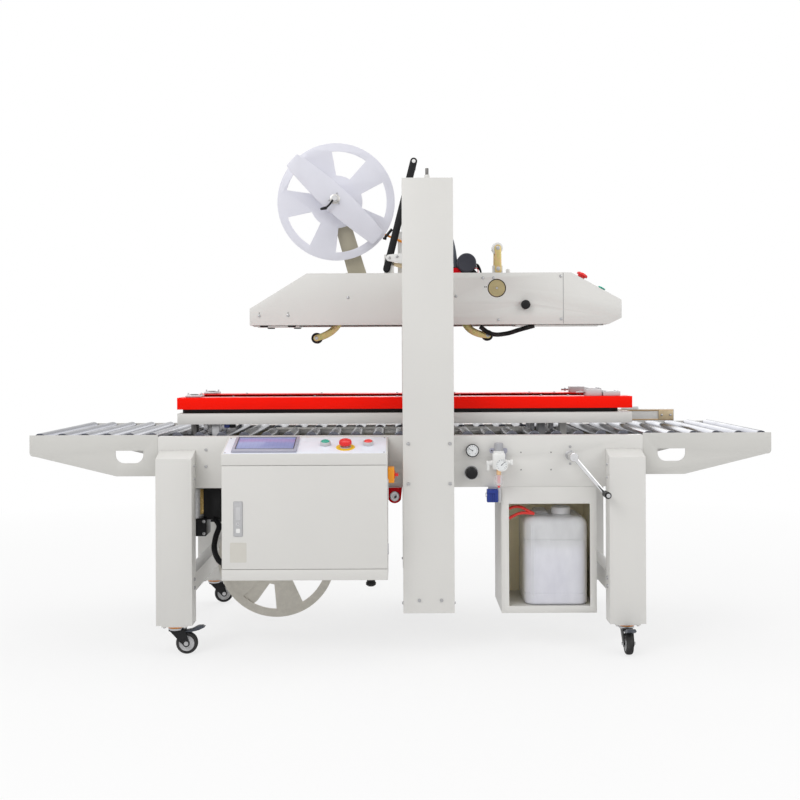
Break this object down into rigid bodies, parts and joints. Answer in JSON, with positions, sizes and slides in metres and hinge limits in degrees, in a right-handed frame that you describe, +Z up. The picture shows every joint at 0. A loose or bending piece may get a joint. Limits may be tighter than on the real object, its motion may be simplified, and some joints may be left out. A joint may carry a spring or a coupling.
{
  "type": "carton sealer",
  "caption": "Free-standing case sealer for gummed paper tape: roller bed with side belts, lifting head with tape reel, control cabinet, water jug box and casters.",
  "frame": {"origin": "middle of the machine's footprint, on the floor", "axes": "+X along the carton's travel from infeed to outfeed, +Z up, -Y the operator's side with the cabinet and crank"},
  "size_m": [2.262, 0.8386, 1.599],
  "materials": {
    "body_paint": "satin warm off-white powder coat",
    "table_paint": "satin warm grey-white powder coat",
    "roller_steel": "zinc-plated roller tube",
    "bare_steel": "plated steel",
    "reel_paint": "satin lilac-white",
    "tan_metal": "khaki painted plate",
    "gold_zinc": "yellow zinc plate",
    "black_plastic": "black moulding",
    "black_arm": "black oxide",
    "wheel_rubber": "matte",
    "belt_rubber": "matte",
    "red_cover": "gloss orange-red powder coat",
    "red_plastic": "gloss",
    "green_plastic": "gloss",
    "motor_grey": "satin dark grey",
    "jug_plastic": "translucent polyethylene",
    "service_unit": "satin"
  },
  "bodies": {
    "frame": {"rail_front": "body_paint", "rail_rear": "body_paint", "infeed_table": "table_paint", "outfeed_table": "table_paint", "infeed_legs": "body_paint", "outfeed_legs": "body_paint", "column_front": "body_paint", "column_rear": "body_paint", "infeed_rollers": "roller_steel", "outfeed_rollers": "roller_steel", "bed_rollers": "roller_steel", "lower_tape_unit": "bare_steel", "lower_reel_arm": "tan_metal", "filter_regulator": "service_unit", "cabinet_shell": "body_paint", "water_box": "body_paint"},
    "caster_infeed_front": {"caster_fork_infeed_front": "black_plastic"},
    "wheel_infeed_front": {"caster_wheel_infeed_front": "wheel_rubber"},
    "caster_infeed_rear": {"caster_fork_infeed_rear": "black_plastic"},
    "wheel_infeed_rear": {"caster_wheel_infeed_rear": "wheel_rubber"},
    "caster_outfeed_front": {"caster_fork_outfeed_front": "black_plastic"},
    "wheel_outfeed_front": {"caster_wheel_outfeed_front": "wheel_rubber"},
    "caster_outfeed_rear": {"caster_fork_outfeed_rear": "black_plastic"},
    "wheel_outfeed_rear": {"caster_wheel_outfeed_rear": "wheel_rubber"},
    "lower_reel": {"lower_reel": "tan_metal"},
    "head": {"head_shell": "body_paint", "upper_tape_unit": "bare_steel", "upper_reel_arm": "tan_metal"},
    "upper_reel": {"upper_reel": "reel_paint", "reel_retainer": "reel_paint"},
    "reel_clamp": {"reel_clamp_lever": "black_plastic"},
    "infeed_roller_arm": {"infeed_roller_arm": "gold_zinc"},
    "outfeed_roller_arm": {"outfeed_roller_arm": "gold_zinc"},
    "dancer_arm": {"dancer_arm": "black_arm"},
    "measuring_arm": {"measuring_arm": "gold_zinc"},
    "head_stop_button": {"head_stop_button": "red_plastic"},
    "head_start_button": {"head_start_button": "green_plastic"},
    "head_knob": {"head_knob": "black_plastic"},
    "side_drive_front": {"belt_beam_front": "body_paint", "belt_cover_front": "red_cover", "drive_belt_front": "belt_rubber", "drive_motor_front": "motor_grey"},
    "drive_pulley_front": {"drive_pulley_front": "roller_steel"},
    "idler_pulley_front": {"idler_pulley_front": "roller_steel"},
    "side_drive_rear": {"belt_beam_rear": "body_paint", "belt_cover_rear": "red_cover", "drive_belt_rear": "belt_rubber", "drive_motor_rear": "motor_grey"},
    "drive_pulley_rear": {"drive_pulley_rear": "roller_steel"},
    "idler_pulley_rear": {"idler_pulley_rear": "roller_steel"},
    "width_crank": {"width_crank": "bare_steel"},
    "crank_grip": {"crank_grip": "black_plastic"},
    "pressure_knob": {"pressure_knob": "black_plastic"},
    "cabinet_door": {"cabinet_door": "body_paint"},
    "door_latch": {"door_latch": "bare_steel"},
    "emergency_stop": {"emergency_stop": "red_plastic"},
    "start_button": {"start_button": "green_plastic"},
    "stop_button": {"stop_button": "red_plastic"},
    "isolator_handle": {"isolator_handle": "red_plastic"},
    "water_jug": {"water_jug": "jug_plastic"}
  },
  "joints": [
    {"name": "caster_swivel_infeed_front", "type": "hinge", "parent": "frame", "child": "caster_infeed_front", "pos_m": [-0.679, -0.30975, 0.08], "axis": [0, 0, 1], "continuous": true},
    {"name": "wheel_spin_infeed_front", "type": "hinge", "parent": "caster_infeed_front", "child": "wheel_infeed_front", "pos_m": [-0.646, -0.30975, 0.033], "axis": [0, 1, 0], "continuous": true},
    {"name": "caster_swivel_infeed_rear", "type": "hinge", "parent": "frame", "child": "caster_infeed_rear", "pos_m": [-0.679, 0.37825, 0.08], "axis": [0, 0, 1], "continuous": true},
    {"name": "wheel_spin_infeed_rear", "type": "hinge", "parent": "caster_infeed_rear", "child": "wheel_infeed_rear", "pos_m": [-0.64672, 0.38511, 0.033], "axis": [-0.2079, 0.9781, 0], "continuous": true},
    {"name": "caster_swivel_outfeed_front", "type": "hinge", "parent": "frame", "child": "caster_outfeed_front", "pos_m": [0.679, -0.30975, 0.08], "axis": [0, 0, 1], "continuous": true},
    {"name": "wheel_spin_outfeed_front", "type": "hinge", "parent": "caster_outfeed_front", "child": "wheel_outfeed_front", "pos_m": [0.679, -0.34275, 0.033], "axis": [1, 0, 0], "continuous": true},
    {"name": "caster_swivel_outfeed_rear", "type": "hinge", "parent": "frame", "child": "caster_outfeed_rear", "pos_m": [0.679, 0.37825, 0.08], "axis": [0, 0, 1], "continuous": true},
    {"name": "wheel_spin_outfeed_rear", "type": "hinge", "parent": "caster_outfeed_rear", "child": "wheel_outfeed_rear", "pos_m": [0.64799, 0.38954, 0.033], "axis": [-0.342, -0.9397, 0], "continuous": true},
    {"name": "lower_reel_spin", "type": "hinge", "parent": "frame", "child": "lower_reel", "pos_m": [-0.41, 0.03425, 0.2285], "axis": [0, 1, 0], "continuous": true},
    {"name": "head_lift", "type": "slide", "parent": "frame", "child": "head", "axis": [0, 0, 1], "range_m": [-0.21, 0.23]},
    {"name": "upper_reel_spin", "type": "hinge", "parent": "head", "child": "upper_reel", "pos_m": [-0.209, 0.03425, 1.405], "axis": [0, 1, 0], "continuous": true},
    {"name": "reel_clamp_turn", "type": "hinge", "parent": "upper_reel", "child": "reel_clamp", "pos_m": [-0.209, -0.07025, 1.405], "axis": [0, 1, 0], "range_deg": [0, 90]},
    {"name": "infeed_roller_arm_swing", "type": "hinge", "parent": "head", "child": "infeed_roller_arm", "pos_m": [-0.2, 0.03425, 1.012], "axis": [0, 1, 0], "range_deg": [0, 38], "stiffness_Nm_per_rad": 4, "springref_deg": -34.38},
    {"name": "outfeed_roller_arm_swing", "type": "hinge", "parent": "head", "child": "outfeed_roller_arm", "pos_m": [0.215, 0.03425, 1.012], "axis": [0, -1, 0], "range_deg": [0, 34], "stiffness_Nm_per_rad": 4, "springref_deg": -34.38},
    {"name": "dancer_swing", "type": "hinge", "parent": "head", "child": "dancer_arm", "pos_m": [-0.033, 0.03425, 1.211], "axis": [0, 1, 0], "range_deg": [-14, 14]},
    {"name": "measuring_arm_swing", "type": "hinge", "parent": "head", "child": "measuring_arm", "pos_m": [0.3235, 0.03425, 1.18], "axis": [0, 1, 0], "range_deg": [-25, 25]},
    {"name": "head_stop_press", "type": "slide", "parent": "head", "child": "head_stop_button", "axis": [-0.4815, 0, -0.8764], "range_m": [0, 0.004], "stiffness_N_per_m": 800, "springref_m": -0.004},
    {"name": "head_start_press", "type": "slide", "parent": "head", "child": "head_start_button", "axis": [-0.4815, 0, -0.8764], "range_m": [0, 0.003], "stiffness_N_per_m": 600, "springref_m": -0.003},
    {"name": "head_knob_turn", "type": "hinge", "parent": "head", "child": "head_knob", "pos_m": [0.404, 0.03425, 1.058], "axis": [0, 1, 0], "continuous": true},
    {"name": "width_slide_front", "type": "slide", "parent": "frame", "child": "side_drive_front", "axis": [0, 1, 0], "range_m": [-0.09, 0.05]},
    {"name": "drive_pulley_spin_front", "type": "hinge", "parent": "side_drive_front", "child": "drive_pulley_front", "pos_m": [-0.6555, -0.11575, 0.7166], "axis": [0, 0, 1], "continuous": true},
    {"name": "idler_pulley_spin_front", "type": "hinge", "parent": "side_drive_front", "child": "idler_pulley_front", "pos_m": [0.6555, -0.11575, 0.7166], "axis": [0, 0, 1], "continuous": true},
    {"name": "width_slide_rear", "type": "slide", "parent": "frame", "child": "side_drive_rear", "axis": [0, 1, 0], "range_m": [-0.05, 0.09]},
    {"name": "drive_pulley_spin_rear", "type": "hinge", "parent": "side_drive_rear", "child": "drive_pulley_rear", "pos_m": [-0.6555, 0.18425, 0.7166], "axis": [0, 0, 1], "continuous": true},
    {"name": "idler_pulley_spin_rear", "type": "hinge", "parent": "side_drive_rear", "child": "idler_pulley_rear", "pos_m": [0.6555, 0.18425, 0.7166], "axis": [0, 0, 1], "continuous": true},
    {"name": "width_crank_turn", "type": "hinge", "parent": "frame", "child": "width_crank", "pos_m": [0.5175, 0.03425, 0.59], "axis": [0, 1, 0], "range_deg": [-3241, 1801]},
    {"name": "crank_grip_spin", "type": "hinge", "parent": "width_crank", "child": "crank_grip", "pos_m": [0.609, 0.03425, 0.482], "axis": [0, 1, 0], "continuous": true},
    {"name": "pressure_knob_turn", "type": "hinge", "parent": "frame", "child": "pressure_knob", "pos_m": [0.216, -0.27575, 0.538], "axis": [0, 1, 0], "continuous": true},
    {"name": "cabinet_door_swing", "type": "hinge", "parent": "frame", "child": "cabinet_door", "pos_m": [-0.039, -0.41575, 0.424], "axis": [0, 0, 1], "range_deg": [0, 110]},
    {"name": "door_latch_pull", "type": "hinge", "parent": "cabinet_door", "child": "door_latch", "pos_m": [-0.475, -0.41605, 0.37], "axis": [1, 0, 0], "range_deg": [0, 35]},
    {"name": "emergency_stop_press", "type": "slide", "parent": "frame", "child": "emergency_stop", "axis": [0, 0.2753, -0.9614], "range_m": [0, 0.005], "stiffness_N_per_m": 800, "springref_m": -0.004},
    {"name": "start_button_press", "type": "slide", "parent": "frame", "child": "start_button", "axis": [0, 0.2753, -0.9614], "range_m": [0, 0.003], "stiffness_N_per_m": 800, "springref_m": -0.004},
    {"name": "stop_button_press", "type": "slide", "parent": "frame", "child": "stop_button", "axis": [0, 0.2753, -0.9614], "range_m": [0, 0.003], "stiffness_N_per_m": 800, "springref_m": -0.004},
    {"name": "isolator_turn", "type": "hinge", "parent": "frame", "child": "isolator_handle", "pos_m": [-0.038, -0.34675, 0.541], "axis": [1, 0, 0], "range_deg": [0, 90]},
    {"name": "jug_slide_out", "type": "slide", "parent": "frame", "child": "water_jug", "axis": [0, -1, 0], "range_m": [0, 0.26]}
  ],
  "couplings": [
    {"joint": "idler_pulley_spin_front", "follows": "drive_pulley_spin_front", "ratio": 1},
    {"joint": "idler_pulley_spin_rear", "follows": "drive_pulley_spin_rear", "ratio": 1},
    {"joint": "width_slide_rear", "follows": "width_slide_front", "ratio": -1},
    {"joint": "width_crank_turn", "follows": "width_slide_front", "rad_per_m": 628.32}
  ]
}
